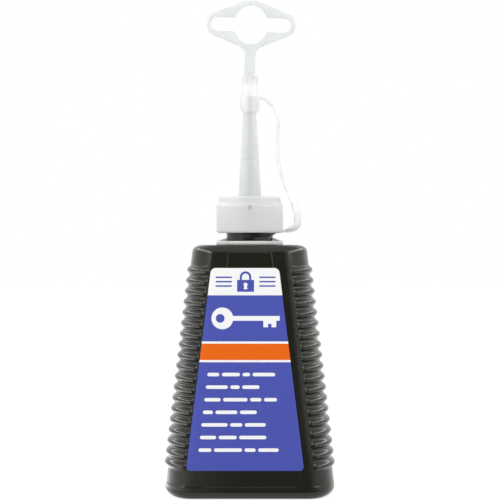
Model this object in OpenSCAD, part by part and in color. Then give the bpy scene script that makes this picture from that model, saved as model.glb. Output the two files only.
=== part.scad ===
// Powder puffer: a ribbed, tapered squeeze bottle with a screw collar, a long
// nozzle, a tip cap on a strap and a hang tag. Millimetres, +Z up, front towards -Y.
// The origin is the middle of the base.

/* [Bottle] */
// Height from the base to the top of the shoulder
body_h = 93.4; // [84:0.1:120]
// Width across the sides at the base, without the ribs
base_w = 64.3; // [58:0.1:76]
// Width across the sides at the shoulder, without the ribs
shoulder_w = 42.4; // [40:0.1:54]
// Depth from front to back at the base
base_depth = 35; // [33:0.1:44]
// Depth from front to back at the shoulder
shoulder_depth = 31.4; // [30:0.1:40]
// How far each rounded side stands out past the flat panels
side_bulge = 6.8; // [6:0.1:8]
// Height of the rounded edges at base and shoulder
edge_h = 3.2; // [2:0.1:4.5]
// Run of the rounded edges at the sides
edge_side = 4.4; // [3:0.1:4.6]
// Run of the rounded edges at the front and the back
edge_front = 3; // [2:0.1:3.6]
// Thickness of the wall
wall = 1.1; // [0.8:0.05:1.3]
// Depth of the hollow under the base
push_up = 0.8; // [0.3:0.1:1.6]
// Width of the rim that the bottle stands on
base_rim = 3; // [2:0.1:5]

/* [Side ribs] */
// Distance between the ribs
rib_pitch = 3.98; // [3.2:0.02:6]
// Width of a rib
rib_w = 2.4; // [1.6:0.1:3]
// How far a rib stands out
rib_h = 1.15; // [0.5:0.05:1.4]
// Height of the lowest rib above the base
rib_low = 11.8; // [9:0.1:16]
// Drop from the shoulder to the highest rib
rib_high = 9.6; // [7:0.1:15]

/* [Neck] */
// Outer diameter of the neck, without the thread
neck_d = 17.4; // [16.6:0.05:18.2]
// Diameter of the neck's bore
neck_bore_d = 15.4; // [14:0.05:15.8]
// Height of the neck above the shoulder
neck_h = 15.3; // [14:0.1:17]
// Outer diameter of the neck's thread
thread_d = 19.6; // [19:0.05:19.9]
// Rise of the thread in one turn
thread_pitch = 3.175; // [3:0.005:3.4]
// Turns of thread on the neck
neck_turns = 3; // [2:0.25:3]
// Height of the thread's lower end above the shoulder
thread_low = 3.5; // [3.4:0.1:4]

/* [Neck ring] */
// Outer diameter of the loose ring
ring_d = 25.2; // [22:0.1:27]
// Height of the ring at the neck
ring_h = 2.4; // [1.8:0.1:2.5]
// Height of the ring at its outer edge
ring_rim_h = 1.2; // [0.6:0.1:1.6]

/* [Screw collar] */
// Outer diameter of the collar
collar_d = 25; // [24:0.1:28]
// Diameter of the collar's narrower top
collar_top_d = 23.3; // [22.4:0.1:23.8]
// Height of the collar
collar_h = 13.5; // [12.6:0.1:14.4]
// Thickness of the collar's top
collar_top_t = 1.4; // [1:0.05:2]
// Inner diameter of the collar, outside its thread
collar_bore_d = 20.2; // [20:0.05:20.6]
// Diameter inside the collar's thread
collar_thread_d = 18.1; // [17.9:0.05:18.6]
// Turns of thread in the collar
collar_turns = 1.75; // [1:0.25:2]
// Height of the narrower top
collar_step_h = 3; // [2:0.1:4]
// Rounding of the top edge
collar_round = 0.8; // [0.3:0.1:1]

/* [Nozzle] */
// Outer diameter at the nozzle's root
nozzle_root_d = 8.5; // [7.6:0.1:10]
// Outer diameter at the nozzle's tip
nozzle_tip_d = 4.2; // [3.6:0.1:4.6]
// Length from the collar's top to the tip
nozzle_len = 38; // [30:0.5:50]
// Diameter of the bore at the root
bore_root_d = 4.4; // [3.6:0.1:5.4]
// Diameter of the bore at the tip
bore_tip_d = 1.8; // [1:0.1:2.2]
// Diameter of the flange held under the collar
flange_d = 17.8; // [17.2:0.05:17.8]
// Thickness of the flange
flange_t = 1.2; // [0.8:0.1:1.8]
// Length of the plug in the neck
plug_len = 5; // [3:0.1:7]
// Thickness of the plug's wall
plug_t = 1.1; // [0.8:0.1:1.6]
// Height of the cutting mark above the collar
mark_up = 13.9; // [8:0.1:20]

/* [Tip cap] */
// Outer diameter of the cap's skirt
skirt_d = 7.5; // [7:0.1:9]
// Length of the skirt
skirt_len = 5.9; // [4.4:0.1:6.2]
// How far the cap reaches down over the nozzle
tip_cover = 6; // [5:0.1:8]
// Outer diameter of the cap's head
head_d = 6.2; // [5.6:0.1:6.8]
// Length of the head
head_len = 8; // [6:0.1:10]
// Rounding of the head's upper edge
head_round = 1; // [0.4:0.1:1]
// Reach of the strap's lug past the skirt
lug_reach = 0.8; // [0.4:0.1:1.5]

/* [Hang tag] */
// Thickness of the tag
tag_t = 1.5; // [1.2:0.1:2]
// Length of the display slot
slot_len = 30; // [26:0.5:36]
// Width of the display slot
slot_w = 5.4; // [4.6:0.1:6.4]
// Diameter of the round hole in the slot's middle
slot_hole_d = 14.7; // [12:0.1:16]
// Width of the web round the slot
tag_web = 1.75; // [1.4:0.05:2.4]
// Width of the tag's stem
stem_w = 4.1; // [3.4:0.1:4.4]
// Height from the tip cap to the middle of the slot
stem_len = 18.9; // [16.5:0.1:26]
// Rounding between the stem and the web
stem_round = 3.5; // [2:0.1:4]
// Depth of the peg in the tip cap
peg_len = 3; // [2:0.1:4]
// Lean of the tag to the right, in degrees
tag_tilt = 1.2; // [0:0.1:3]

/* [Strap] */
// Width of the strap
strap_w = 3; // [2:0.1:3.6]
// Thickness of the strap
strap_t = 0.9; // [0.6:0.05:1.1]
// How far the strap bows out from a straight line
strap_bow = 6.35; // [5:0.05:9]
// Most that the strap twists about its length, in degrees
strap_twist = 40; // [0:1:50]

/* [Front label] */
// Thickness of the label film
label_t = 0.15; // [0.1:0.01:0.4]
// Height of the label's lower edge above the base
label_low = 10.7; // [7:0.1:20]
// Drop from the shoulder to the label's upper edge
label_high = 8.5; // [6:0.1:20]
// Space from the panel's left edge to the label
label_left = 0.7; // [0.3:0.1:6]
// Space from the label to the panel's right edge
label_right = 4.2; // [0.3:0.1:6]
// Radius of the label's corners
label_round = 1.7; // [0.5:0.1:4]

/* [Powder] */
// Empty height between the powder and the inside of the shoulder
headspace = 20; // [12:0.5:60]

/* [Hidden] */
$fn = 64;

// Running clearance round turning and sliding fits
run_gap = 0.05;
// Clearance between faces that seat on each other
seat_gap = 0.05;
// Clearance of the powder from the wall
fill_gap = 0.1;
// Overrun of cuts past the faces that they open
overrun = 1;
// Depth that joined shapes sink into each other
sink = 0.4;
// Steps in a small rounding
corner_steps = 4;

// Flat panels lean back and the sides lean in by these slopes
side_slope = (base_w - shoulder_w) / 2 / body_h;
depth_slope = (base_depth - shoulder_depth) / 2 / body_h;
panel_lean = atan(depth_slope);

// Angles of the points round one side, from the front panel to the back panel
column_angles = [-90, -81, -72, -58, -40, -20, 0, 20, 40, 58, 72, 81, 90];
// How much of a rib's height stands at each of these points
rib_shares = [0, 0.8, 1, 1, 1, 1, 1, 1, 1, 1, 1, 0.8, 0];
column_last = len(column_angles) - 1;
// Places of the spare points across a flat panel
panel_shares = [0.35, 0.65];
edge_angles = [0, 22.5, 45, 67.5, 90];
rib_angles = [0, 45, 90, 135, 180];
rib_count = floor((body_h - rib_low - rib_high) / rib_pitch) + 1;

floor_z = push_up + wall;
ceiling_z = body_h - wall;
fill_top_z = ceiling_z - headspace;

// The hole under the neck ends within the neck's wall
neck_hole_r = (neck_d + neck_bore_d) / 4;
neck_hole_sweep = 50;
mouth_z = body_h + neck_h;

thread_start = -110;
thread_steps = 24;
thread_fade = 40;
thread_root_w = 1.6;
thread_crest_w = 0.8;
collar_thread_z = body_h + thread_low + thread_pitch;

flange_z = mouth_z + seat_gap;
collar_under_z = flange_z + flange_t + seat_gap;
collar_top_z = collar_under_z + collar_top_t;
collar_low_z = collar_top_z - collar_h;
collar_lead = 0.6;
collar_chamfer = 0.7;
notch_w = 0.4;
notch_h = 1.7;
notch_depth = 0.35;

tip_z = collar_top_z + nozzle_len;
nozzle_slope = (nozzle_root_d - nozzle_tip_d) / 2 / nozzle_len;
bore_straight = 3;
mark_w = 0.35;
mark_depth = 0.12;

skirt_low_z = tip_z - tip_cover;
skirt_top_z = skirt_low_z + skirt_len;
head_top_z = skirt_top_z + head_len;
cap_ceiling_z = tip_z + seat_gap;
lug_x = skirt_d / 2 + lug_reach;
lug_t = strap_t + 2 * run_gap;
lug_z = skirt_top_z - lug_t / 2;

tag_steps = 10;
tag_end_x = (slot_len - slot_w) / 2;
tag_end_r = slot_w / 2 + tag_web;
tag_mid_r = slot_hole_d / 2 + tag_web;
tag_rake = asin((tag_mid_r - tag_end_r) / tag_end_x);
peg_rise = 0.5;

// The strap leaves the collar here, a little above its lower edge
strap_root_x = collar_d / 2;
strap_root_z = collar_low_z + strap_w / 4;
strap_end_x = lug_x + seat_gap;
// Rise along the strap, bow from the straight line, and twist
strap_shares = [
    [0, 0, 0], [0.01, 0.4, 0.3], [0.04, 0.84, 0.7], [0.1, 1, 1], [0.16, 0.97, 1], [0.24, 0.82, 0.9],
    [0.37, 0.5, 0.5], [0.52, 0.35, 0.2], [0.68, 0.49, 0.1], [0.83, 0.76, 0], [0.9, 0.63, 0],
    [0.96, 0.39, 0], [1, 0, 0]];
strap_steps = 3;

bottle_black = "#232321";
natural_white = "#E9EDEE";
label_blue = "#4C56AD";
powder_grey = "#3A3B3D";

function unit(v) = v / norm(v);
function polar(r, a, z) = [r * cos(a), r * sin(a), z];
function reversed(list) = [for (i = [len(list) - 1 : -1 : 0]) list[i]];
function arc(centre, r, from, to, steps) =
    [for (i = [0 : steps]) let (a = from + (to - from) * i / steps) centre + r * [cos(a), sin(a)]];

// Corners of an outline replaced by arcs of radius r
function rounded(outline, r, steps) = [
    for (i = [0 : len(outline) - 1])
        let (p = outline[i],
             back = unit(outline[(i + len(outline) - 1) % len(outline)] - p),
             ahead = unit(outline[(i + 1) % len(outline)] - p),
             half = acos(back * ahead) / 2,
             centre = p + unit(back + ahead) * r / sin(half),
             from = p + back * r / tan(half) - centre,
             turn = back.x * ahead.y - back.y * ahead.x > 0 ? 2 * half - 180 : 180 - 2 * half)
        each arc(centre, r, atan2(from.y, from.x), atan2(from.y, from.x) + turn, steps)];

// Faces of a closed loft through rings of n points that run counter-clockwise seen from its end.
// The middles of the two end rings follow the rings' points.
function loft_faces(rings, n) = concat(
    [for (j = [0 : n - 1]) [rings * n, j, (j + 1) % n]],
    [for (i = [0 : rings - 2], j = [0 : n - 1])
        let (a = i * n + j, b = i * n + (j + 1) % n)
        each [[a, a + n, b + n], [a, b + n, b]]],
    [for (j = [0 : n - 1]) [rings * n + 1, (rings - 1) * n + (j + 1) % n, (rings - 1) * n + j]]);
function middle(ring) = [for (axis = [0 : 2]) [for (p = ring) p[axis]] * [for (p = ring) 1 / len(ring)]];

module loft(rings) {
    points = [for (ring = rings) each ring];
    ends = [middle(rings[0]), middle(rings[len(rings) - 1])];
    polyhedron(points = concat(points, ends), faces = loft_faces(len(rings), len(rings[0])));
}

// Half width of the flat front panel at a height
function panel_half(z) = base_w / 2 - side_slope * z - side_bulge;
function depth_half(z) = base_depth / 2 - depth_slope * z;

// One point of a rounded side; rib is how far a rib stands out there, and tilt
// turns the ring square to the leaning side
function column_point(z, panel, bulge, depth, i, side, rib, tilt) =
    let (a = column_angles[i],
         out = unit([depth * cos(a), bulge * sin(a)]) * rib * rib_shares[i],
         x = panel + bulge * cos(a) + out.x)
    [side * x, depth * sin(a) + out.y, z + tilt * side_slope * (x - panel)];

// Section of the bottle at a height, drawn in at the sides, at the front and at the panel's edge
function bottle_ring(z, in_side, in_front, in_panel = 0, rib = 0, tilt = 1) =
    let (panel = panel_half(z) - in_panel,
         bulge = side_bulge - in_side,
         depth = depth_half(z) - in_front)
    concat(
        [for (i = [0 : column_last]) column_point(z, panel, bulge, depth, i, 1, rib, tilt)],
        [for (s = panel_shares) [panel * (1 - 2 * s), depth, z]],
        [for (i = [column_last : -1 : 0]) column_point(z, panel, bulge, depth, i, -1, rib, tilt)],
        [for (s = panel_shares) [panel * (2 * s - 1), -depth, z]]);

// Ring of as many points round the neck's hole
function neck_hole_ring(z) =
    let (turn = neck_hole_sweep / 90, gap = 180 - 2 * neck_hole_sweep)
    concat(
        [for (a = column_angles) polar(neck_hole_r, a * turn, z)],
        [for (s = panel_shares) polar(neck_hole_r, neck_hole_sweep + s * gap, z)],
        [for (a = reversed(column_angles)) polar(neck_hole_r, 180 - a * turn, z)],
        [for (s = panel_shares) polar(neck_hole_r, 180 + neck_hole_sweep + s * gap, z)]);

function base_edge_rings(z, inset) = [
    for (t = edge_angles)
        bottle_ring(z + edge_h * (1 - cos(t)), inset + edge_side * (1 - sin(t)),
                    inset + edge_front * (1 - sin(t)), tilt = sin(t))];
function shoulder_edge_rings(z, inset) = [
    for (t = reversed(edge_angles))
        bottle_ring(z - edge_h * (1 - cos(t)), inset + edge_side * (1 - sin(t)),
                    inset + edge_front * (1 - sin(t)), tilt = sin(t))];
function rib_rings() = [
    for (k = [0 : rib_count - 1], t = rib_angles)
        bottle_ring(rib_low + k * rib_pitch - rib_w / 2 * cos(t), 0, 0, rib = rib_h * sin(t))];

// Outside up to the neck, then the inside down to the floor
module bottle_shell() {
    hollow = base_rim + push_up;
    loft(concat(
        [bottle_ring(push_up, edge_side, edge_front + hollow, hollow, tilt = 0),
         bottle_ring(0, edge_side, edge_front + base_rim, base_rim, tilt = 0)],
        base_edge_rings(0, 0),
        rib_rings(),
        shoulder_edge_rings(body_h, 0),
        [neck_hole_ring(body_h), neck_hole_ring(ceiling_z)],
        reversed(shoulder_edge_rings(ceiling_z, wall)),
        reversed(base_edge_rings(floor_z, wall))));
}

// Ridge of a right-hand thread between two radii, thinned out at both ends
module thread_ridge(root_r, crest_r, turns, z, start) {
    sweep = 360 * turns;
    inward = crest_r < root_r;
    buried_r = root_r + (inward ? sink : -sink);
    hidden_r = (root_r + buried_r) / 2;
    loft([for (i = [0 : turns * thread_steps])
        let (a = i * 360 / thread_steps,
             rise = z + thread_pitch * a / 360,
             full = min(1, a / thread_fade, (sweep - a) / thread_fade),
             tip_r = hidden_r + (crest_r - hidden_r) * full,
             near = inward ? [tip_r, thread_crest_w / 2] : [buried_r, thread_root_w / 2],
             far = inward ? [buried_r, thread_root_w / 2] : [tip_r, thread_crest_w / 2])
        [polar(near[0], start + a, rise - near[1]), polar(near[0], start + a, rise + near[1]),
         polar(far[0], start + a, rise + far[1]), polar(far[0], start + a, rise - far[1])]]);
}

module bottle() {
    color(bottle_black) {
        bottle_shell();
        rotate_extrude()
            polygon([[neck_bore_d / 2, ceiling_z - sink], [neck_d / 2, ceiling_z - sink],
                     [neck_d / 2, mouth_z], [neck_bore_d / 2, mouth_z]]);
        thread_ridge(neck_d / 2, thread_d / 2, neck_turns, body_h + thread_low, thread_start);
    }
}

module front_label() {
    top_z = body_h - label_high;
    outline = [[label_left - panel_half(label_low), label_low],
               [panel_half(label_low) - label_right, label_low],
               [panel_half(top_z) - label_right, top_z],
               [label_left - panel_half(top_z), top_z]];
    color(label_blue)
        translate([0, -base_depth / 2, 0])
            rotate([90 - panel_lean, 0, 0])
                linear_extrude(label_t)
                    polygon(rounded([for (p = outline) [p.x, p.y / cos(panel_lean)]], label_round, corner_steps));
}

module graphite_fill() {
    inset = wall + fill_gap;
    color(powder_grey)
        loft(concat(base_edge_rings(floor_z + fill_gap, inset),
                    [bottle_ring(fill_top_z, inset, inset, tilt = 0)]));
}

module neck_ring() {
    bore_r = neck_d / 2 + run_gap;
    low_z = body_h + seat_gap;
    color(natural_white)
        rotate_extrude()
            polygon([[bore_r, low_z], [ring_d / 2, low_z], [ring_d / 2, low_z + ring_rim_h],
                     [bore_r, low_z + ring_h]]);
}

module nozzle() {
    plug_r = neck_bore_d / 2 - run_gap;
    mark_z = collar_top_z + mark_up;
    function outer_r(z) = nozzle_tip_d / 2 + nozzle_slope * (tip_z - z);
    outside = [
        [plug_r - plug_t, flange_z - plug_len], [plug_r, flange_z - plug_len], [plug_r, flange_z],
        [flange_d / 2, flange_z], [flange_d / 2, flange_z + flange_t],
        [nozzle_root_d / 2, flange_z + flange_t], [nozzle_root_d / 2, collar_top_z],
        [outer_r(mark_z - mark_w / 2), mark_z - mark_w / 2],
        [outer_r(mark_z) - mark_depth, mark_z - mark_w / 2],
        [outer_r(mark_z) - mark_depth, mark_z + mark_w / 2],
        [outer_r(mark_z + mark_w / 2), mark_z + mark_w / 2], [nozzle_tip_d / 2, tip_z]];
    inside = [
        [bore_tip_d / 2, tip_z], [bore_tip_d / 2, tip_z - bore_straight],
        [bore_root_d / 2, flange_z + flange_t], [bore_root_d / 2, flange_z],
        [plug_r - plug_t, flange_z]];
    color(natural_white) rotate_extrude() polygon(concat(outside, inside));
}

module screw_collar() {
    bore_r = collar_bore_d / 2;
    hole_r = nozzle_root_d / 2 + run_gap;
    top_r = collar_top_d / 2;
    step_z = collar_top_z - collar_step_h;
    color(natural_white) {
        difference() {
            rotate_extrude()
                polygon(concat(
                    [[bore_r + collar_lead, collar_low_z], [collar_d / 2, collar_low_z],
                     [collar_d / 2, step_z], [top_r, step_z + collar_chamfer]],
                    arc([top_r - collar_round, collar_top_z - collar_round], collar_round, 0, 90, corner_steps),
                    [[hole_r, collar_top_z], [hole_r, collar_under_z], [bore_r, collar_under_z],
                     [bore_r, collar_low_z + collar_lead]]));
            translate([-notch_w / 2, -collar_d / 2 - overrun, step_z - notch_h])
                cube([notch_w, overrun + notch_depth, notch_h]);
        }
        thread_ridge(bore_r, collar_thread_d / 2, collar_turns, collar_thread_z, thread_start + 180);
    }
}

// Cubic through the route's points, with level ends
function strap_route() = [for (s = strap_shares)
    [strap_root_x + (strap_end_x - strap_root_x) * s[0] + strap_bow * s[1],
     strap_root_z + (lug_z - strap_root_z) * s[0],
     strap_twist * s[2]]];
function smooth(route, i, t) =
    let (last = len(route) - 1,
         a = route[max(i - 1, 0)], b = route[i], c = route[i + 1], d = route[min(i + 2, last)])
    b + (c - a) * t / 2 + (2 * a - 5 * b + 4 * c - d) * t * t / 2 + (3 * b - a - 3 * c + d) * t * t * t / 2;

module strap() {
    route = strap_route();
    spans = len(route) - 1;
    line = concat([route[0] - [sink, 0, 0]],
                  [for (i = [0 : spans - 1], k = [0 : strap_steps - 1]) smooth(route, i, k / strap_steps)],
                  [route[spans]]);
    last = len(line) - 1;
    color(natural_white)
        loft([for (i = [0 : last])
            let (p = line[i],
                 run = i == 0 ? [1, 0] : i == last ? [-1, 0]
                     : unit([line[i + 1].x - line[i - 1].x, line[i + 1].y - line[i - 1].y]),
                 across = [0, cos(p[2]), 0] + sin(p[2]) * [run[1], 0, -run[0]],
                 through = cos(p[2]) * [run[1], 0, -run[0]] - [0, sin(p[2]), 0],
                 centre = [p.x, 0, p.y])
            [for (c = [[1, 1], [1, -1], [-1, -1], [-1, 1]])
                centre + across * c[0] * strap_w / 2 + through * c[1] * strap_t / 2]]);
}

module tip_cap() {
    bore_r = nozzle_tip_d / 2 + run_gap;
    head_r = head_d / 2;
    color(natural_white)
        difference() {
            union() {
                rotate_extrude()
                    polygon(concat(
                        [[bore_r + nozzle_slope * tip_cover, skirt_low_z], [skirt_d / 2, skirt_low_z],
                         [skirt_d / 2, skirt_top_z], [head_r, skirt_top_z]],
                        arc([head_r - head_round, head_top_z - head_round], head_round, 0, 90, corner_steps),
                        [[0, head_top_z], [0, cap_ceiling_z], [bore_r, cap_ceiling_z], [bore_r, tip_z]]));
                translate([skirt_d / 2 - sink, -strap_w / 2, skirt_top_z - lug_t])
                    cube([lug_reach + sink, strap_w, lug_t]);
            }
            translate([-stem_w / 2 - run_gap, -tag_t / 2 - run_gap, head_top_z - peg_len - run_gap])
                cube([stem_w + 2 * run_gap, tag_t + 2 * run_gap, peg_len + run_gap + overrun]);
        }
}

// Outline of the tag about the middle of its slot: three rounds joined by straight edges, and the stem
function tag_outline() =
    let (fillet_x = stem_w / 2 + stem_round,
         fillet_y = (tag_mid_r + stem_round - sin(tag_rake) * fillet_x) / cos(tag_rake),
         right = concat(
             [[stem_w / 2, -stem_len]],
             arc([fillet_x, -fillet_y], stem_round, 180, 90 + tag_rake, tag_steps),
             arc([tag_end_x, 0], tag_end_r, tag_rake - 90, 90 - tag_rake, tag_steps),
             arc([0, 0], tag_mid_r, 90 - tag_rake, 90, tag_steps / 2)))
    concat(right, [for (p = reversed(right)) if (p.x > 0) [-p.x, p.y]]);

module hang_tag() {
    slot_r = slot_w / 2;
    slot_outline = concat(arc([tag_end_x, 0], slot_r, -90, 90, tag_steps),
                          arc([-tag_end_x, 0], slot_r, 90, 270, tag_steps));
    color(natural_white)
        translate([0, tag_t / 2, head_top_z]) {
            rotate([90, 0, 0])
                linear_extrude(tag_t)
                    translate([-stem_w / 2, -peg_len])
                        square([stem_w, peg_len + peg_rise]);
            rotate([0, tag_tilt, 0])
                rotate([90, 0, 0])
                    translate([0, stem_len, 0])
                        difference() {
                            linear_extrude(tag_t) polygon(tag_outline());
                            translate([0, 0, -overrun]) {
                                linear_extrude(tag_t + 2 * overrun) polygon(slot_outline);
                                cylinder(d = slot_hole_d, h = tag_t + 2 * overrun);
                            }
                        }
        }
}

bottle();
front_label();
graphite_fill();
neck_ring();
nozzle();
screw_collar();
strap();
tip_cap();
hang_tag();
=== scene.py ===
"""Looks of a powder puffer: a ribbed squeeze bottle with a screw collar, a long nozzle,
a tip cap on a strap and a hang tag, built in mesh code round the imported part."""
import math

import bmesh
import bpy
from bpy.props import FloatProperty, FloatVectorProperty, IntProperty, PointerProperty
from bpy.types import Operator, Panel, PropertyGroup
from mathutils import Matrix, Vector, noise


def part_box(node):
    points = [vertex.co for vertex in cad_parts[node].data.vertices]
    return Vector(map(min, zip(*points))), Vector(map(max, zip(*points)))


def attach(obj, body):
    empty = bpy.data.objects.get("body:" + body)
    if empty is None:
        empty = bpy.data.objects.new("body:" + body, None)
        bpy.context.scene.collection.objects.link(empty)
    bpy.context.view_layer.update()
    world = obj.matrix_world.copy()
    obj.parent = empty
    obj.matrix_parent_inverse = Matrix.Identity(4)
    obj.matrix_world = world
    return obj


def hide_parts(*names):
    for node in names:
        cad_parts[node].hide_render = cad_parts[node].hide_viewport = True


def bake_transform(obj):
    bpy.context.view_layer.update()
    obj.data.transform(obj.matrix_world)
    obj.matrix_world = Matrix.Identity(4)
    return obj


bl_info = {
    "name": "Powder puffer",
    "version": (1, 0, 0),
    "blender": (4, 5, 0),
    "location": "View3D > Sidebar > Puffer",
    "description": "Builds the looks of a powder puffer round its packed part",
    "category": "Add Mesh",
}

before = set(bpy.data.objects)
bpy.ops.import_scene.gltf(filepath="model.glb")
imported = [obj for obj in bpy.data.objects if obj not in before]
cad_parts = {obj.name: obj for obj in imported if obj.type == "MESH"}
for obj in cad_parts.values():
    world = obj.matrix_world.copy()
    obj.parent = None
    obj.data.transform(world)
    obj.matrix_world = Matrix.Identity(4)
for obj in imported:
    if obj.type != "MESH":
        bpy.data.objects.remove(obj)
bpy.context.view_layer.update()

MM = 0.001
# Clearance that the part keeps between faces that seat on each other
SEAT_GAP = 0.05 * MM

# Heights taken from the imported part
SHOULDER_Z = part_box("neck_ring")[0].z - SEAT_GAP
MOUTH_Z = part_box("bottle")[1].z
COLLAR_LOW_Z, COLLAR_TOP_Z = (corner.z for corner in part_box("screw_collar"))
NOZZLE_LOW_Z, TIP_Z = (corner.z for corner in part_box("nozzle"))
SKIRT_LOW_Z, HEAD_TOP_Z = (corner.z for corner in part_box("tip_cap"))
FILL_TOP_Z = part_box("graphite_fill")[1].z


# Settings

def linear(hex_code):
    """An sRGB hex value as linear red, green and blue."""
    parts = [int(hex_code[i:i + 2], 16) / 255 for i in (1, 3, 5)]
    return tuple(c / 12.92 if c <= 0.04045 else ((c + 0.055) / 1.055) ** 2.4 for c in parts)


def length(name, description, millimetres):
    """A size in the panel."""
    return FloatProperty(name=name, description=description, default=millimetres * MM, min=0.0,
                         precision=5, unit="LENGTH")


def degrees(name, description, value):
    """An angle in the panel."""
    return FloatProperty(name=name, description=description, default=math.radians(value),
                         subtype="ANGLE")


def colour(name, description, hex_code):
    """A colour in the panel."""
    return FloatVectorProperty(name=name, description=description, default=linear(hex_code),
                               min=0.0, max=1.0, size=3, subtype="COLOR")


class BottleSizes(PropertyGroup):
    """Sizes and colour of the squeeze bottle."""
    base_width: length("Base width", "Width across the sides at the base, without the ribs", 64.3)
    shoulder_width: length("Shoulder width", "Width across the sides at the shoulder", 42.4)
    base_depth: length("Base depth", "Depth from front to back at the base", 35)
    shoulder_depth: length("Shoulder depth", "Depth from front to back at the shoulder", 31.4)
    side_bulge: length("Side bulge", "Width of each rounded side past the flat panels", 10.9)
    side_power: FloatProperty(name="Side power", default=2.4, min=2.0, max=4.0,
                              description="Power of the curve round the sides; 2 is an ellipse")
    side_rise: length("Side rise", "How much higher a section runs at the side than at the panel",
                      0.8)
    edge_height: length("Edge height", "Height of the rounded edges at base and shoulder", 3.2)
    edge_side: length("Edge side", "Run of the rounded edges at the sides", 4.4)
    edge_front: length("Edge front", "Run of the rounded edges at front and back", 3)
    wall: length("Wall", "Thickness of the wall", 1.1)
    push_up: length("Push-up", "Depth of the hollow under the base", 0.8)
    base_rim: length("Base rim", "Width of the rim that the bottle stands on", 3)
    rib_pitch: length("Rib pitch", "Distance between the ribs", 3.98)
    rib_width: length("Rib width", "Width of a rib at its soft foot", 3.4)
    rib_height: length("Rib height", "How far a rib stands out", 1.15)
    rib_low: length("Lowest rib", "Height of the lowest rib above the base", 11.8)
    rib_end: length("Rib end", "Distance from the panel's edge to where a rib starts to round off",
                    4.45)
    rib_count: IntProperty(name="Ribs", description="Number of ribs on each side", default=19,
                           min=1)
    neck_width: length("Neck", "Outer diameter of the neck, without the thread", 17.4)
    neck_bore: length("Neck bore", "Diameter of the neck's bore", 15.4)
    thread_width: length("Thread", "Outer diameter of the neck's thread", 19.6)
    black: colour("Black", "Colour of the bottle", "#18180F")


class ClosureSizes(PropertyGroup):
    """Sizes and colours of the ring, collar, nozzle, tip cap and strap."""
    ring_width: length("Ring", "Outer diameter of the loose ring", 25.2)
    ring_height: length("Ring height", "Height of the ring's two wings at the neck", 2.6)
    ring_rim: length("Ring rim", "Height of the ring at its rim, its front and its back", 1.35)
    # The ring is the same milky polyethylene as the cap; its darker grey is painted shade from the
    # black neck and shoulder that it sits on
    ring_grey_painted_shade: colour("Ring shade", "Milky grey of the loose ring", "#E0E2DF")
    collar_width: length("Collar", "Outer diameter of the collar", 25)
    collar_top_width: length("Collar top", "Diameter of the collar's narrower top", 23.3)
    collar_bore: length("Collar bore", "Inner diameter of the collar, outside its thread", 20.2)
    collar_thread: length("Collar thread", "Diameter inside the collar's thread", 18.1)
    collar_top: length("Collar top thickness", "Thickness of the collar's top", 1.4)
    collar_step: length("Collar step", "Height of the narrower top", 3)
    collar_shade: colour("Collar shade", "Milky white of the collar", "#F3F5F5")
    nozzle_root: length("Nozzle root", "Outer diameter at the nozzle's root", 8.5)
    nozzle_tip: length("Nozzle tip", "Outer diameter at the nozzle's tip", 4.2)
    bore_root: length("Bore root", "Diameter of the nozzle's bore at its root", 4.4)
    bore_tip: length("Bore tip", "Diameter of the nozzle's bore at its tip", 1.8)
    flange_width: length("Flange", "Diameter of the flange held under the collar", 17.8)
    flange: length("Flange thickness", "Thickness of the flange", 1.2)
    plug: length("Plug", "Thickness of the plug's wall", 1.1)
    mark_up: length("Cutting mark", "Height of the cutting mark above the collar", 13.9)
    nozzle_shade: colour("Nozzle shade", "Milky white of the nozzle", "#F8F8F5")
    skirt_width: length("Skirt", "Outer diameter of the tip cap's skirt", 7.5)
    skirt: length("Skirt length", "Length of the tip cap's skirt", 5.9)
    head_width: length("Head", "Outer diameter of the tip cap's head", 6.2)
    lug: length("Lug", "Reach of the strap's lug past the skirt", 0.8)
    cap_shade: colour("Cap shade", "Milky white of the tip cap", "#FBFCF9")
    strap_width: length("Strap", "Width of the strap", 3)
    strap: length("Strap thickness", "Thickness of the strap", 0.9)
    strap_bow: length("Strap bow", "How far the strap bows out from a straight line", 6.35)
    strap_twist: degrees("Strap twist", "Most that the strap twists", 62)
    strap_shade: colour("Strap shade", "Milky white of the strap", "#F5F6F5")


class TagSizes(PropertyGroup):
    """Sizes and colour of the hang tag."""
    thickness: length("Thickness", "Thickness of the tag", 1.5)
    slot: length("Slot", "Length of the display slot", 30)
    slot_width: length("Slot width", "Width of the display slot", 5.4)
    hole: length("Hole", "Height of the round hole in the slot's middle", 14.7)
    hole_width: length("Hole width", "Width of that hole, which is drawn in a little", 12.8)
    web: length("Web", "Width of the web round the slot", 1.75)
    stem_width: length("Stem", "Width of the stem", 4.1)
    stem: length("Stem length", "Height from the tip cap to the middle of the slot", 18.9)
    stem_round: length("Stem rounding", "Rounding between the stem and the web", 3.5)
    mouth_round: length("Mouth rounding", "Rounding between the slot and the hole", 1)
    peg: length("Peg", "Depth of the peg in the tip cap", 3)
    lean: degrees("Lean", "Lean of the tag to the right", 1.2)
    shade: colour("Tag shade", "Milky white of the tag", "#F1F4F4")


class LabelDesign(PropertyGroup):
    """Sizes and colours of the front label."""
    film: length("Film", "Thickness of the film", 0.15)
    low: length("Low edge", "Height of the label's lower edge", 10.7)
    high: length("High edge", "Drop from the shoulder to the label's upper edge", 8.5)
    left: length("Left overlap", "How far the label runs past the panel's left edge", 3.4)
    right: length("Right margin", "Space from the label to the panel's right edge", 0.1)
    taper: length("Taper", "How much further each side draws in at the top than the panel does",
                  0.5)
    corner: length("Corner", "Radius of the label's corners", 1.7)
    header: length("Header", "Height of the white header", 10)
    field: length("Field", "Height of the blue field between the header and the band", 16.9)
    band: length("Band", "Height of the orange band between its white lines", 6)
    rule: length("Rule", "Height of the white lines beside the band", 0.8)
    white: colour("White", "White of the label", "#F4F4F4")
    blue: colour("Blue", "Blue of the label", "#4A54AE")
    orange: colour("Orange", "Orange of the label", "#EA6600")


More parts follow.
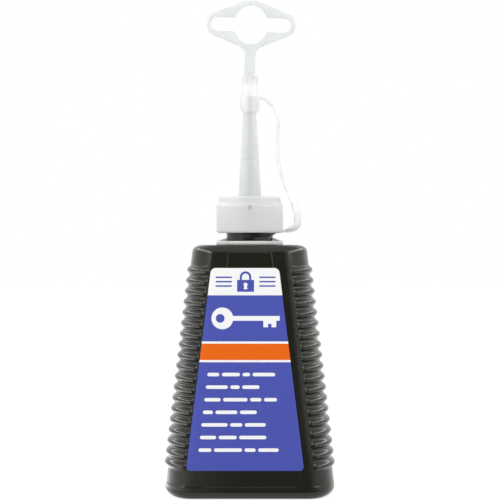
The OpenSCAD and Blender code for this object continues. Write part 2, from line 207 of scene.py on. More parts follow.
class StageSettings(PropertyGroup):
    """Camera and light."""
    distance: length("Distance", "Distance from the camera to the bottle's middle", 639)
    height: length("Camera height", "Height of the camera above the floor", 91.5)
    across: length("Camera offset", "How far the camera stands to the right", 0.08)
    view_width: length("View width", "Width that the picture takes in at the bottle's middle", 188)
    world_light: FloatProperty(name="World light", default=0.66, min=0.0,
                               description="Strength of the light from all round")


class PufferSettings(PropertyGroup):
    """All settings of the puffer."""
    bottle: PointerProperty(type=BottleSizes)
    closure: PointerProperty(type=ClosureSizes)
    tag: PointerProperty(type=TagSizes)
    label: PointerProperty(type=LabelDesign)
    stage: PointerProperty(type=StageSettings)


# Mesh helpers

# Points of a mesh that lie closer than this are one point
MERGE = 0.002 * MM


def blend(a, b, share):
    """A value on the way from a to b."""
    return a + (b - a) * share


def steps(count):
    """Shares from 0 to 1 in equal steps."""
    return [i / count for i in range(count + 1)]


def quarter_turn(count):
    """Angles from 0 to a right angle in equal steps."""
    return [math.radians(90 * share) for share in steps(count)]


def full_turn(count):
    """Angles round a circle in equal steps."""
    return [math.tau * i / count for i in range(count)]


def arc(centre, radius, start, end, count):
    """Points of an arc in a plane, between two angles in degrees."""
    turns = [math.radians(blend(start, end, share)) for share in steps(count)]
    return [(centre[0] + radius * math.cos(t), centre[1] + radius * math.sin(t)) for t in turns]


def filleted(corners, count=4):
    """An outline whose corners (x, y, radius) are replaced by arcs."""
    nearly_straight = math.radians(89.9)
    made = []
    for i, (x, y, radius) in enumerate(corners):
        corner = Vector((x, y))
        back = (Vector(corners[i - 1][:2]) - corner).normalized()
        ahead = (Vector(corners[(i + 1) % len(corners)][:2]) - corner).normalized()
        half = back.angle(ahead) / 2
        if radius <= 0 or half > nearly_straight:
            made.append((x, y))
            continue
        centre = corner + (back + ahead).normalized() * radius / math.sin(half)
        start = corner + back * radius / math.tan(half) - centre
        end = corner + ahead * radius / math.tan(half) - centre
        turn = start.angle_signed(end)
        for share in steps(count):
            spoke = start.copy()
            spoke.rotate(Matrix.Rotation(-turn * share, 2))
            made.append(tuple(centre + spoke))
    return made


def circle(radius, z, count):
    """A level ring round the neck's axis."""
    return [Vector((radius * math.cos(t), radius * math.sin(t), z)) for t in full_turn(count)]


def skin(name, rings, closed=False, crease=40):
    """An object through rings of as many points. Its ends are closed by fans, or joined."""
    around = len(rings[0])
    points = [point for ring in rings for point in ring]
    pairs = [(i, (i + 1) % len(rings)) for i in range(len(rings) if closed else len(rings) - 1)]
    faces = []
    for a, b in pairs:
        for j in range(around):
            k = (j + 1) % around
            faces.append((a * around + j, a * around + k, b * around + k, b * around + j))
    if not closed:
        for end in (0, len(rings) - 1):
            points.append(sum((Vector(p) for p in rings[end]), Vector()) / around)
            faces += [(len(points) - 1, end * around + j, end * around + (j + 1) % around)
                      for j in range(around)]
    mesh = bpy.data.meshes.new(name)
    mesh.from_pydata([tuple(p) for p in points], [], faces)
    return finished(name, mesh, crease)


def finished(name, mesh, crease=40):
    """An object with merged points and faces turned outwards, smooth up to a crease in degrees."""
    made = bmesh.new()
    made.from_mesh(mesh)
    bmesh.ops.remove_doubles(made, verts=made.verts, dist=MERGE)
    bmesh.ops.dissolve_degenerate(made, edges=made.edges, dist=MERGE)
    bmesh.ops.recalc_face_normals(made, faces=made.faces)
    made.to_mesh(mesh)
    made.free()
    mesh.shade_smooth()
    mesh.set_sharp_from_angle(angle=math.radians(crease))
    obj = bpy.data.objects.new(name, mesh)
    bpy.context.scene.collection.objects.link(obj)
    return obj


def turned(name, profile, closed=True, count=112, ridge=None):
    """A turned piece from a profile of (radius, height), with a ridge added to its radius."""
    rings = []
    for radius, z in profile:
        ring = circle(radius, z, count)
        if ridge:
            for i, point in enumerate(ring):
                point.xy *= 1 + ridge(360 * i / count, radius, z) / radius
        rings.append(ring)
    return skin(name, rings, closed)


def sampled(profile, spacing):
    """A closed profile with points added along its long stretches."""
    made = []
    for i, start in enumerate(profile):
        end = profile[(i + 1) % len(profile)]
        count = max(1, round(math.dist(start, end) / spacing))
        made += [(blend(start[0], end[0], share), blend(start[1], end[1], share))
                 for share in steps(count)[:-1]]
    return made


def combined(target, tool, operation):
    """The target's mesh joined with, or cut by, a tool that is then removed."""
    modifier = target.modifiers.new(operation, "BOOLEAN")
    modifier.operation, modifier.object, modifier.solver = operation, tool, "EXACT"
    evaluated = target.evaluated_get(bpy.context.evaluated_depsgraph_get())
    mesh = bpy.data.meshes.new_from_object(evaluated)
    name = target.name
    for done in (target, tool):
        bpy.data.objects.remove(done)
    return finished(name, mesh)


def block(name, low, high, bevel=0.0):
    """A box between two corners, whose edges can be rounded."""
    made = bmesh.new()
    bmesh.ops.create_cube(made, size=1)
    size = Vector(high) - Vector(low)
    for vert in made.verts:
        vert.co = Vector(low) + Vector([(vert.co[i] + 0.5) * size[i] for i in range(3)])
    if bevel:
        bmesh.ops.bevel(made, geom=made.edges[:], offset=bevel, segments=3, profile=0.5,
                        affect="EDGES")
    mesh = bpy.data.meshes.new(name)
    made.to_mesh(mesh)
    made.free()
    return finished(name, mesh)


def dress(obj, body, node, material):
    """The piece rides on a body, stands for a node and takes its finish."""
    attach(obj, body)
    if node:
        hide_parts(node)
    obj.data.materials.clear()
    obj.data.materials.append(material)
    return obj


# Materials

def add(tree, kind, inputs=(), **settings):
    """One node with its settings, values and links."""
    made = tree.nodes.new(kind)
    for name, value in settings.items():
        setattr(made, name, value)
    for name, value in dict(inputs).items():
        if isinstance(value, bpy.types.NodeSocket):
            tree.links.new(value, made.inputs[name])
        else:
            made.inputs[name].default_value = value
    return made


def emptied(owner):
    """The node tree of a material or of the world, with nothing in it."""
    owner.use_nodes = True
    owner.node_tree.nodes.clear()
    return owner.node_tree


def surface(name, shades, mottle, gloss, relief, values):
    """A material that varies over lumps of real sizes: its colour between two shades over the
    mottle's size, its roughness over gloss (low, high, size), its height over relief (depth, size).
    """
    material = bpy.data.materials.get(name) or bpy.data.materials.new(name)
    tree = emptied(material)
    place = add(tree, "ShaderNodeTexCoord").outputs["Object"]
    mottled, worn, raised = (
        add(tree, "ShaderNodeTexNoise",
            {"Vector": place, "Scale": 1 / size, "Detail": 3.0}).outputs["Fac"]
        for size in (mottle, gloss[2], relief[1]))
    shade = add(tree, "ShaderNodeMix", {0: mottled, 6: (*shades[0], 1.0), 7: (*shades[1], 1.0)},
                data_type="RGBA")
    # Most of the noise lies between these two values
    rough = add(tree, "ShaderNodeMapRange", {"Value": worn, "From Min": 0.3, "From Max": 0.7,
                                             "To Min": gloss[0], "To Max": gloss[1]})
    bump = add(tree, "ShaderNodeBump", {"Height": raised, "Distance": relief[0]})
    shader = add(tree, "ShaderNodeBsdfPrincipled", {
        "Base Color": shade.outputs[2], "Roughness": rough.outputs[0],
        "Normal": bump.outputs[0], **values})
    add(tree, "ShaderNodeOutputMaterial", {"Surface": shader.outputs[0]})
    return material


def black_polyethylene(shade):
    # Blow-moulded high-density polyethylene, coloured right through: a warm black with a clear
    # sheen on its round edges, and the faint orange peel of a wall that cooled against the mould
    black = Vector(shade)
    return surface("blow-moulded black polyethylene", (black * 0.85, black * 1.25), 9 * MM,
                   (0.18, 0.25, 4 * MM), (0.01 * MM, 1.1 * MM),
                   {"IOR": 1.52, "Specular IOR Level": 0.41})


def natural_polyethylene(piece, shade, clear, scatter=1 * MM, cover=1.0):
    # Injection-moulded natural low-density polyethylene: milky and waxy, and clear enough in a
    # thin wall for what lies behind it to show as a soft shade. The cover falls below 1 where a
    # wall is so thin that what it holds shows through
    milk = Vector(shade)
    return surface("moulded natural polyethylene, " + piece, (milk * 0.96, milk), 5 * MM,
                   (0.32, 0.4, 2.5 * MM), (0.005 * MM, 0.9 * MM),
                   {"IOR": 1.51, "Transmission Weight": clear, "Subsurface Weight": 1.0,
                    "Subsurface Scale": scatter, "Subsurface Radius": (1.0, 1.0, 1.0),
                    "Alpha": cover})


def bore_painted_shade():
    # Natural polyethylene drawn blue-grey: painted shade on the faces of the nozzle's bore, for the
    # darker core of the hollow that shows through the milky wall. Its relief is drawn in lumps of
    # 0.6 mm
    return surface("polyethylene with painted bore shade", (linear("#7F94A6"), linear("#98AEC0")), 3 * MM,
                   (0.5, 0.7, 2 * MM), (0.01 * MM, 0.6 * MM),
                   {"IOR": 1.51, "Specular IOR Level": 0.2})


def printed_film(name, shade):
    # Gravure-printed polypropylene film: an even field of ink under a smooth, slightly glossy face
    ink = Vector(shade)
    return surface("printed polypropylene film, " + name, (ink * 0.97, ink), 6 * MM,
                   (0.32, 0.4, 3 * MM), (0.003 * MM, 1.5 * MM),
                   {"IOR": 1.49, "Specular IOR Level": 0.2})


def graphite_powder():
    # Loose milled graphite: a dull dark grey, with a soft metallic glint from its flakes. These
    # are a few hundredths of a millimetre, and are drawn as grains of 0.6 mm so that they show
    return surface("loose graphite powder", (linear("#2C2D2F"), linear("#4A4B4E")), 0.6 * MM,
                   (0.5, 0.75, 0.6 * MM), (0.15 * MM, 0.6 * MM), {"Metallic": 0.35})


# Bottle

class Section:
    """Sections of the bottle: flat front and back between two rounded sides."""
    # Steps round a side and across a flat panel
    COLUMN = 56
    PANEL = 8
    # Shape of the ribs: power of their soft flanks, and how much blunter than round their ends are
    RIB_POWER = 1.5
    END_BLUNT = 1.7
    # The mesh is finer at the ribs' ends: how far before an end, how far to either side, and how
    # many parts each step is split into
    END_BEFORE = 0.4 * MM
    END_REACH = 1.0 * MM
    END_PARTS = 4

    def __init__(self, sizes):
        self.sizes = sizes
        self.side_slope = (sizes.base_width - sizes.shoulder_width) / 2 / SHOULDER_Z
        self.depth_slope = (sizes.base_depth - sizes.shoulder_depth) / 2 / SHOULDER_Z
        coarse = [math.radians(blend(-90, 90, share)) for share in steps(self.COLUMN)]
        runs = self.measured(coarse)
        self.angles = coarse[:1]
        for i in range(self.COLUMN):
            away = (runs[i] + runs[i + 1]) / 2 - sizes.rib_end + self.END_BEFORE
            parts = self.END_PARTS if abs(away) < self.END_REACH else 1
            self.angles += [blend(coarse[i], coarse[i + 1], k / parts) for k in range(1, parts + 1)]
        self.runs = self.measured(self.angles)
        self.count = 2 * len(self.angles) + 2 * (self.PANEL - 1)

    def panel_half(self, z):
        """Half width of the flat front panel at a height."""
        return self.sizes.base_width / 2 - self.side_slope * z - self.sizes.side_bulge

    def depth_half(self, z):
        """Half depth of the bottle at a height."""
        return self.sizes.base_depth / 2 - self.depth_slope * z

    def front(self, x, z):
        """Place of the front face at a width and a height."""
        out = max(0.0, abs(x) - self.panel_half(z)) / self.sizes.side_bulge
        power = self.sizes.side_power
        return -self.depth_half(z) * (1 - min(out, 1.0) ** power) ** (1 / power)

    def side(self, angle, bulge, depth):
        """Place on a rounded side, from the panel's edge, and the way out of it."""
        share = 2 / self.sizes.side_power
        c, s = max(math.cos(angle), 0.0), math.sin(angle)
        place = Vector((bulge * c ** share, math.copysign(depth * abs(s) ** share, s)))
        out = Vector((c ** (2 - share) / bulge, math.copysign(abs(s) ** (2 - share) / depth, s)))
        return place, out.normalized()

    def measured(self, angles):
        """Run along a side from the nearer panel's edge to each of its points."""
        middle = self.depth_half(SHOULDER_Z / 2)
        points = [self.side(a, self.sizes.side_bulge, middle)[0] for a in angles]
        runs = [0.0]
        for before, after in zip(points, points[1:]):
            runs.append(runs[-1] + (after - before).length)
        return [min(run, runs[-1] - run) for run in runs]

    def rib(self, run, z):
        """How far the ribs stand out at a run from the panel's edge and a height."""
        s = self.sizes
        nearest = min(max(round((z - s.rib_low) / s.rib_pitch), 0), s.rib_count - 1)
        past = self.END_BLUNT * max(0.0, s.rib_end - run)
        away = math.hypot(past, z - s.rib_low - nearest * s.rib_pitch)
        share = min(1.0, away / (s.rib_width / 2))
        return s.rib_height * (1 - share * share) ** self.RIB_POWER

    def ring(self, z, in_side=0.0, in_front=0.0, in_panel=0.0, ribs=False, rise=1.0):
        """One section, drawn in at the sides, at the front and back and at the panel's edge."""
        s = self.sizes
        panel, bulge = self.panel_half(z) - in_panel, s.side_bulge - in_side
        depth = self.depth_half(z) - in_front
        column = []
        for angle, run in zip(self.angles, self.runs):
            place, out = self.side(angle, bulge, depth)
            level = z + rise * s.side_rise * place.x / s.side_bulge
            if ribs:
                place = place + out * self.rib(run, z)
            column.append(Vector((panel + place.x, place.y, level)))
        across = [blend(panel, -panel, share) for share in steps(self.PANEL)[1:-1]]
        return (column + [Vector((x, depth, z)) for x in across]
                + [Vector((-p.x, p.y, p.z)) for p in reversed(column)]
                + [Vector((-x, -depth, z)) for x in across])

    def round_ring(self, radius, z, ridge=None):
        """A ring of as many points round the neck's axis."""
        made = []
        for i in range(self.count):
            angle = math.tau * (i - (len(self.angles) - 1) / 2) / self.count
            r = radius + (ridge(math.degrees(angle), radius, z) if ridge else 0.0)
            made.append(Vector((r * math.cos(angle), r * math.sin(angle), z)))
        return made


# Thread: rise of one turn, height of the neck's thread above the shoulder, angle in degrees at
# which it starts, angle over which its ends fade, and width of its ridge at the root and the crest
THREAD_PITCH = 3.175 * MM
THREAD_LOW = 3.5 * MM
THREAD_START = -110
THREAD_FADE = 40
THREAD_ROOT = 1.6 * MM
THREAD_CREST = 0.8 * MM
# Turns on the neck and in the collar, whose thread starts half a turn later and a pitch higher, so
# that its ridge runs between the neck's
NECK_TURNS = 3
COLLAR_TURNS = 1.75
COLLAR_LAG = 180


def thread(start_z, start, turns, depth):
    """Height of a right-hand thread at an angle and a height, thinned out at both ends."""
    def ridge(angle, radius, z):
        best = 0.0
        first = (angle - start) % 360
        for turn in range(math.ceil(turns)):
            swept = first + 360 * turn
            away = abs(z - start_z - THREAD_PITCH * swept / 360)
            if swept > 360 * turns or away > THREAD_ROOT / 2:
                continue
            fade = min(1.0, swept / THREAD_FADE, (360 * turns - swept) / THREAD_FADE)
            flank = (THREAD_ROOT / 2 - away) / (THREAD_ROOT - THREAD_CREST) * 2
            best = max(best, fade * min(1.0, flank))
        return depth * best
    return ridge


# Rings up the neck, down the inside and round an edge
NECK_STEPS = 76
INSIDE_STEPS = 12
EDGE_STEPS = 8
# Places across half a rib where the rings lie, as shares: close together at its soft foot
RIB_SHARES = (0, 0.15, 0.29, 0.42, 0.54, 0.66, 0.77, 0.87, 0.95, 1)
# A plain ring this far beside a curve keeps the curve's smooth shading off the flat wall
GUARD = 0.3 * MM
# Rounding of the base's rim towards the hollow: its rise and its run
HOLLOW_RISE, HOLLOW_RUN = 0.15 * MM, 0.1 * MM
MOUTH_ROUND = 0.3 * MM
# Parting line above the base: its height, and its bead as (rise, stand-out) in millimetres
SEAM_Z = 4.3 * MM
SEAM_BEAD = ((-0.8, 0), (-0.5, 0), (-0.25, 0), (-0.12, 0.05), (0, 0.07), (0.12, 0.05), (0.25, 0),
             (0.5, 0))


def bottle_rings(s, section):
    """Rings from under the base, up the outside to the mouth, and down the inside to the floor."""
    def edge(z, inset, way):
        """The rounded edge at the base (way 1) or at the shoulder (way -1), from below."""
        rings = []
        for t in quarter_turn(EDGE_STEPS)[::way]:
            drawn = 1 - math.sin(t)
            rings.append(section.ring(z + way * s.edge_height * (1 - math.cos(t)),
                                      inset + s.edge_side * drawn, inset + s.edge_front * drawn,
                                      rise=math.sin(t)))
        return rings

    hollow = s.base_rim + s.push_up
    brink = s.base_rim + HOLLOW_RUN
    under = [section.ring(s.push_up, s.edge_side, s.edge_front + hollow, hollow, rise=0),
             section.ring(HOLLOW_RISE, s.edge_side, s.edge_front + brink, brink, rise=0),
             section.ring(0.0, s.edge_side, s.edge_front + s.base_rim, s.base_rim, rise=0)]
    seam = [section.ring(SEAM_Z + rise * MM, -out * MM, -out * MM) for rise, out in SEAM_BEAD]
    half = [share * s.rib_width / 2 for share in RIB_SHARES]
    offsets = [-s.rib_pitch / 2] + [-out for out in reversed(half)] + half[1:]
    levels = [s.rib_low + i * s.rib_pitch + out for i in range(s.rib_count) for out in offsets]
    plain = [levels[0] + GUARD, levels[-1] + GUARD, SHOULDER_Z - s.edge_height - GUARD]
    ribbed = [section.ring(z, ribs=True) for z in sorted(levels + plain)]

    neck_r, bore_r, lip_z = s.neck_width / 2, s.neck_bore / 2, MOUTH_Z - MOUTH_ROUND
    ceiling, ground = SHOULDER_Z - s.wall, s.push_up + s.wall
    ridge = thread(SHOULDER_Z + THREAD_LOW, THREAD_START, NECK_TURNS,
                   (s.thread_width - s.neck_width) / 2)
    neck = [section.round_ring(neck_r, blend(SHOULDER_Z, lip_z, share), ridge)
            for share in steps(NECK_STEPS)]
    lip = [section.round_ring(r, z) for r, z in
           arc((neck_r - MOUTH_ROUND, lip_z), MOUTH_ROUND, 0, 90, 3)
           + arc((bore_r + MOUTH_ROUND, lip_z), MOUTH_ROUND, 90, 180, 3)]
    bore = [section.round_ring(bore_r, ceiling)]
    high, low = ceiling - s.edge_height, ground + s.edge_height
    inside = [section.ring(blend(high, low, share), s.wall, s.wall)
              for share in steps(INSIDE_STEPS)[1:-1]]
    return (under + edge(0.0, 0.0, 1) + seam + ribbed + edge(SHOULDER_Z, 0.0, -1) + neck + lip
            + bore + edge(ceiling, s.wall, -1)[::-1] + inside + edge(ground, s.wall, 1)[::-1])


# A bead's points round it, and how far it sinks into the wall as a share of its height
BEAD_POINTS = 8
BEAD_SINK = 0.6


def raised_line(name, route, width, height):
    """A thin closed bead along a route on the front face."""
    out = Vector((0, -1, 0))
    rings = []
    for i, point in enumerate(route):
        along = (route[(i + 1) % len(route)] - route[i - 1]).normalized()
        across = along.cross(out) * width / 2
        rings.append([point + across * math.cos(t) + out * (height * max(math.sin(t), -BEAD_SINK))
                      for t in full_turn(BEAD_POINTS)])
    return skin(name, rings, closed=True)


# Witness lines of the mould's insert on the front panel: height and inset from the panel's edge at
# foot and head, steps along a side, and width and height of the bead
WITNESS_FOOT = (4.6 * MM, 1.6 * MM)
WITNESS_HEAD = (90.4 * MM, 2.8 * MM)
WITNESS_STEPS = 12
WITNESS_BEAD = (0.45 * MM, 0.12 * MM)
# Oval mark of the mould: its middle, its half width and half height, its points, and its bead
MARK_MIDDLE = (17.7 * MM, 8.1 * MM)
MARK_HALF = (0.5 * MM, 0.8 * MM)
MARK_POINTS = 24
MARK_BEAD = (0.35 * MM, 0.12 * MM)


class PUFFER_OT_bottle(Operator):
    """Build the ribbed squeeze bottle with its threaded neck and mould marks"""
    bl_idname = "puffer.bottle"
    bl_label = "Bottle"

    def execute(self, context):
        s = context.scene.puffer.bottle
        section = Section(s)
        black = black_polyethylene(s.black)
        shell = skin("bottle_shell", bottle_rings(s, section), crease=60)
        dress(shell, "bottle", "bottle", black)

        def on_front(x, z):
            return Vector((x, section.front(x, z), z))

        corners = [(side * (section.panel_half(z) - inset), z) for side, (z, inset) in (
            (-1, WITNESS_FOOT), (1, WITNESS_FOOT), (1, WITNESS_HEAD), (-1, WITNESS_HEAD))]
        route = [on_front(blend(a[0], b[0], share), blend(a[1], b[1], share))
                 for a, b in zip(corners, corners[1:] + corners[:1])
                 for share in steps(WITNESS_STEPS)[:-1]]
        oval = [on_front(MARK_MIDDLE[0] + MARK_HALF[0] * math.cos(t),
                         MARK_MIDDLE[1] + MARK_HALF[1] * math.sin(t))
                for t in full_turn(MARK_POINTS)]
        for line in (raised_line("mould_witness", route, *WITNESS_BEAD),
                     raised_line("mould_mark", oval, *MARK_BEAD)):
            dress(line, "bottle", None, black)
        return {"FINISHED"}


# Front label

# Thickness of a layer of ink, and how far right of the label's middle the motifs stand
INK = 0.02 * MM
MOTIF_SHIFT = 0.2 * MM
# Padlock in the header: its width, and its drop below the header's middle
PADLOCK_WIDTH, PADLOCK_DROP = 6.2 * MM, 0.3 * MM
# Rules beside it: where they start, how high they lie, and their length and height
RULE_STARTS = (-11 * MM, 5 * MM)
RULE_RISES = (-1.6 * MM, 0.0, 1.6 * MM)
RULE_LENGTH, RULE_HEIGHT = 6 * MM, 0.55 * MM
# Key: its length, and its bit and tip as (place along it, height), as shares of its length
KEY_LENGTH = 25 * MM
KEY_EDGE = ((0.26, -0.035), (0.26, -0.13), (0.33, -0.13), (0.33, -0.08), (0.38, -0.08),
            (0.38, -0.13), (0.45, -0.13), (0.45, -0.035), (0.5, -0.035), (0.5, 0.035))
# Words of the small print as runs of bars: share of the line that each takes
PRINT_LINES = ((0.16, 0.24, 0.1, 0.3), (0.28, 0.12, 0.22), (0.2, 0.3, 0.14, 0.16),
               (0.12, 0.26, 0.2), (0.3, 0.14, 0.24), (0.18, 0.2, 0.3), (0.14, 0.3, 0.12, 0.22))
# Drop from the band to the first line, pitch of the lines, height of a bar and space between bars
PRINT_DROP, PRINT_PITCH, BAR_HEIGHT, BAR_GAP = 4.5 * MM, 4.6 * MM, 1.3 * MM, 0.9 * MM
# Space before a line, and how much of the panel's width the lines leave free
PRINT_INDENT, PRINT_FREE = 0.3 * MM, 4 * MM
# Steps of the film's mesh across it, up its plain foot and round a corner
FILM_ACROSS, FILM_FOOT, FILM_CORNER = 48, 16, 8


def stamped(name, section, lift, outlines, ink):
    """Flat marks of ink on the label, from closed outlines of (x, z) on the flat front panel."""
    made = bmesh.new()
    for outline in outlines:
        front, back = ([made.verts.new((x, section.front(x, z) - height, z)) for x, z in outline]
                       for height in (lift, lift - INK))
        made.faces.new(front)
        made.faces.new(reversed(back))
        for i in range(len(outline)):
            made.faces.new((front[i - 1], front[i], back[i], back[i - 1]))
    mesh = bpy.data.meshes.new(name)
    made.to_mesh(mesh)
    made.free()
    obj = finished(name, mesh, 30)
    return dress(obj, "bottle", None, ink)


def bar(x, z, width, height):
    """A bar with round ends, from its left end and its middle height."""
    r = min(height, width) / 2
    return arc((x + width - r, z), r, -90, 90, 6) + arc((x + r, z), r, 90, 270, 6)


def padlock(x, z, size):
    """Outlines of a closed padlock: its body with its bow, the bow's inside, and its keyhole."""
    half, bow, inner = 0.5 * size, 0.34 * size, 0.21 * size
    foot, top, bow_z = z - 0.55 * size, z + 0.15 * size, z + 0.32 * size
    body = ([(x - half, foot), (x + half, foot), (x + half, top), (x + bow, top)]
            + arc((x, bow_z), bow, 0, 180, 14) + [(x - bow, top), (x - half, top)])
    loop = [(x - inner, top)] + arc((x, bow_z), inner, 180, 0, 14) + [(x + inner, top)]
    slot, slot_z = 0.11 * size, z - 0.4 * size
    keyhole = (arc((x, z - 0.13 * size), 0.12 * size, -50, 230, 14)
               + [(x - slot, slot_z), (x + slot, slot_z)])
    return body, loop, keyhole


def key(x, z, size):
    """Outlines of a key lying on its side: bow, shaft and bit, and the hole in its bow."""
    bow, shaft = 0.16 * size, KEY_EDGE[-1][1] * size
    turn = math.degrees(math.asin(shaft / bow))
    start = x - 0.5 * size + bow
    outline = (arc((start, z), bow, turn, 360 - turn, 30)
               + [(x + place * size, z + rise * size) for place, rise in KEY_EDGE])
    return outline, arc((start - 0.2 * bow, z), 0.4 * bow, 0, 345, 23)


class PUFFER_OT_label(Operator):
    """Stick the printed label on the front panel"""
    bl_idname = "puffer.label"
    bl_label = "Front label"

    def execute(self, context):
        settings = context.scene.puffer
        s, section = settings.label, Section(settings.bottle)
        top = SHOULDER_Z - s.high
        films = [printed_film(name, shade) for name, shade in
                 (("blue", s.blue), ("white", s.white), ("orange", s.orange))]
        blue, white, orange = range(3)
        fields, foot = [], top
        for height, film in ((s.header, white), (s.field, blue), (s.rule, white), (s.band, orange),
                             (s.rule, white)):
            foot -= height
            fields.append((foot, film))
        corner = [(s.corner * (1 - math.cos(t)), s.corner * (1 - math.sin(t)))
                  for t in quarter_turn(FILM_CORNER)]
        rows = ([(s.low + rise, inset) for rise, inset in corner]
                + [(blend(s.low + s.corner, foot, share), 0.0)
                   for share in steps(FILM_FOOT)[1:-1]]
                + [(edge, 0.0) for edge, film in reversed(fields)]
                + [(top - drop, inset) for drop, inset in reversed(corner)])
        rings = []
        for z, inset in rows:
            drawn = inset + s.taper * (z - s.low) / (top - s.low)
            left = -section.panel_half(z) - s.left + drawn
            right = section.panel_half(z) - s.right - drawn
            across = [blend(left, right, share) for share in steps(FILM_ACROSS)]
            face = [Vector((x, section.front(x, z) - s.film, z)) for x in across]
            back = [Vector((x, section.front(x, z), z)) for x in reversed(across)]
            rings.append(face + back)
        label = skin("label_film", rings)
        dress(label, "bottle", "front_label", films[blue])
        for film in films[1:]:
            label.data.materials.append(film)
        for face in label.data.polygons:
            face.material_index = next((film for edge, film in fields if face.center.z > edge),
                                       blue)

        lift = s.film + INK
        middle = -(s.left + s.right) / 2 + MOTIF_SHIFT
        header_z = top - s.header / 2
        body, loop, keyhole = padlock(middle, header_z - PADLOCK_DROP, PADLOCK_WIDTH)
        rules = [bar(middle + start, header_z + rise, RULE_LENGTH, RULE_HEIGHT)
                 for start in RULE_STARTS for rise in RULE_RISES]
        outline, hole = key(middle, top - s.header - s.field / 2, KEY_LENGTH)
        words = []
        for i, shares in enumerate(PRINT_LINES):
            z = foot - PRINT_DROP - i * PRINT_PITCH
            x = -section.panel_half(z) + PRINT_INDENT
            room = 2 * section.panel_half(z) - PRINT_FREE
            for share in shares:
                words.append(bar(x, z, share * room, BAR_HEIGHT))
                x += share * room + BAR_GAP
        stamped("label_padlock", section, lift, [body] + rules, films[blue])
        stamped("label_keyhole", section, lift + INK, [loop, keyhole], films[white])
        stamped("label_key_and_print", section, lift, [outline] + words, films[white])
        stamped("label_key_hole", section, lift + INK, [hole], films[blue])
        return {"FINISHED"}


# Powder: its clearance from the wall, the share of its height over which its foot rounds in, the
# shares of its height and of its top's width where the rings lie
POWDER_GAP = 0.3 * MM
POWDER_FOOT = 0.05
POWDER_LEVELS = (0, 0.02, 0.05, 0.3, 0.6, 0.97)
POWDER_TOP = (1.0, 0.8, 0.6, 0.4, 0.2)
# Its top lies this far down, heaps up and down by this much, in so many lumps to a metre
HEAP_DROP, HEAP_SWELL, HEAP_LUMPS = 0.6 * MM, 0.5 * MM, 90


class PUFFER_OT_powder(Operator):
    """Fill the bottle with loose powder"""
    bl_idname = "puffer.powder"
    bl_label = "Powder"

    def execute(self, context):
        s = context.scene.puffer.bottle
        section = Section(s)
        inset = s.wall + POWDER_GAP
        ground = s.push_up + inset
        rings = []
        for share in POWDER_LEVELS:
            drawn = max(0, 1 - share / POWDER_FOOT)
            rings.append(section.ring(blend(ground, FILL_TOP_Z, share), inset + s.edge_side * drawn,
                                      inset + s.edge_front * drawn, rise=0))
        for share in POWDER_TOP:
            level = section.ring(FILL_TOP_Z, inset, inset, rise=0)
            for point in level:
                point.xy *= share
                point.z -= HEAP_DROP + HEAP_SWELL * noise.noise(point * HEAP_LUMPS)
            rings.append(level)
        heap = skin("powder_fill", rings, crease=60)
        dress(heap, "bottle", "graphite_fill", graphite_powder())
        return {"FINISHED"}


# Closure

# Points round the neck ring, and the shares of a point's reach to the side between which the ring
# rises from flat to its wings
RING_POINTS = 176
WING_START, WING_FULL = 0.92, 0.955


class PUFFER_OT_neck_ring(Operator):
    """Lay the loose ring, which rises to the neck in a wing at each side, round the neck's foot"""
    bl_idname = "puffer.neck_ring"
    bl_label = "Neck ring"

    def execute(self, context):
        settings = context.scene.puffer
        s = settings.closure
        bore = settings.bottle.neck_width / 2 + SEAT_GAP
        low, rim = SHOULDER_Z + SEAT_GAP, s.ring_width / 2
        flat = low + s.ring_rim
        profile = filleted([(bore, low, 0.2 * MM), (rim, low, 0.15 * MM), (rim, flat, 0.45 * MM),
                            (bore, low + s.ring_height, 0.2 * MM)])
        rings = []
        for radius, z in profile:
            level = circle(radius, z, RING_POINTS)
            for point in level:
                share = (abs(point.x) / radius - WING_START) / (WING_FULL - WING_START)
                point.z = min(z, blend(flat, z, min(max(share, 0.0), 1.0)))
            rings.append(level)
        ring = skin("neck_ring_lathe", rings, closed=True)
        # The ring's grey is painted shade from the black neck and shoulder under it
        dress(ring, "neck_ring", "neck_ring",
              natural_polyethylene("ring", s.ring_grey_painted_shade, 0.1))
        return {"FINISHED"}


def nozzle_slope(s):
    """How fast the nozzle's radius grows down from its tip."""
    return (s.nozzle_root - s.nozzle_tip) / 2 / (TIP_Z - COLLAR_TOP_Z)


# Groove that marks where to cut the nozzle: its height and depth. Length of the tip's even bore
CUT_HEIGHT, CUT_DEPTH = 0.4 * MM, 0.14 * MM
EVEN_BORE = 3 * MM


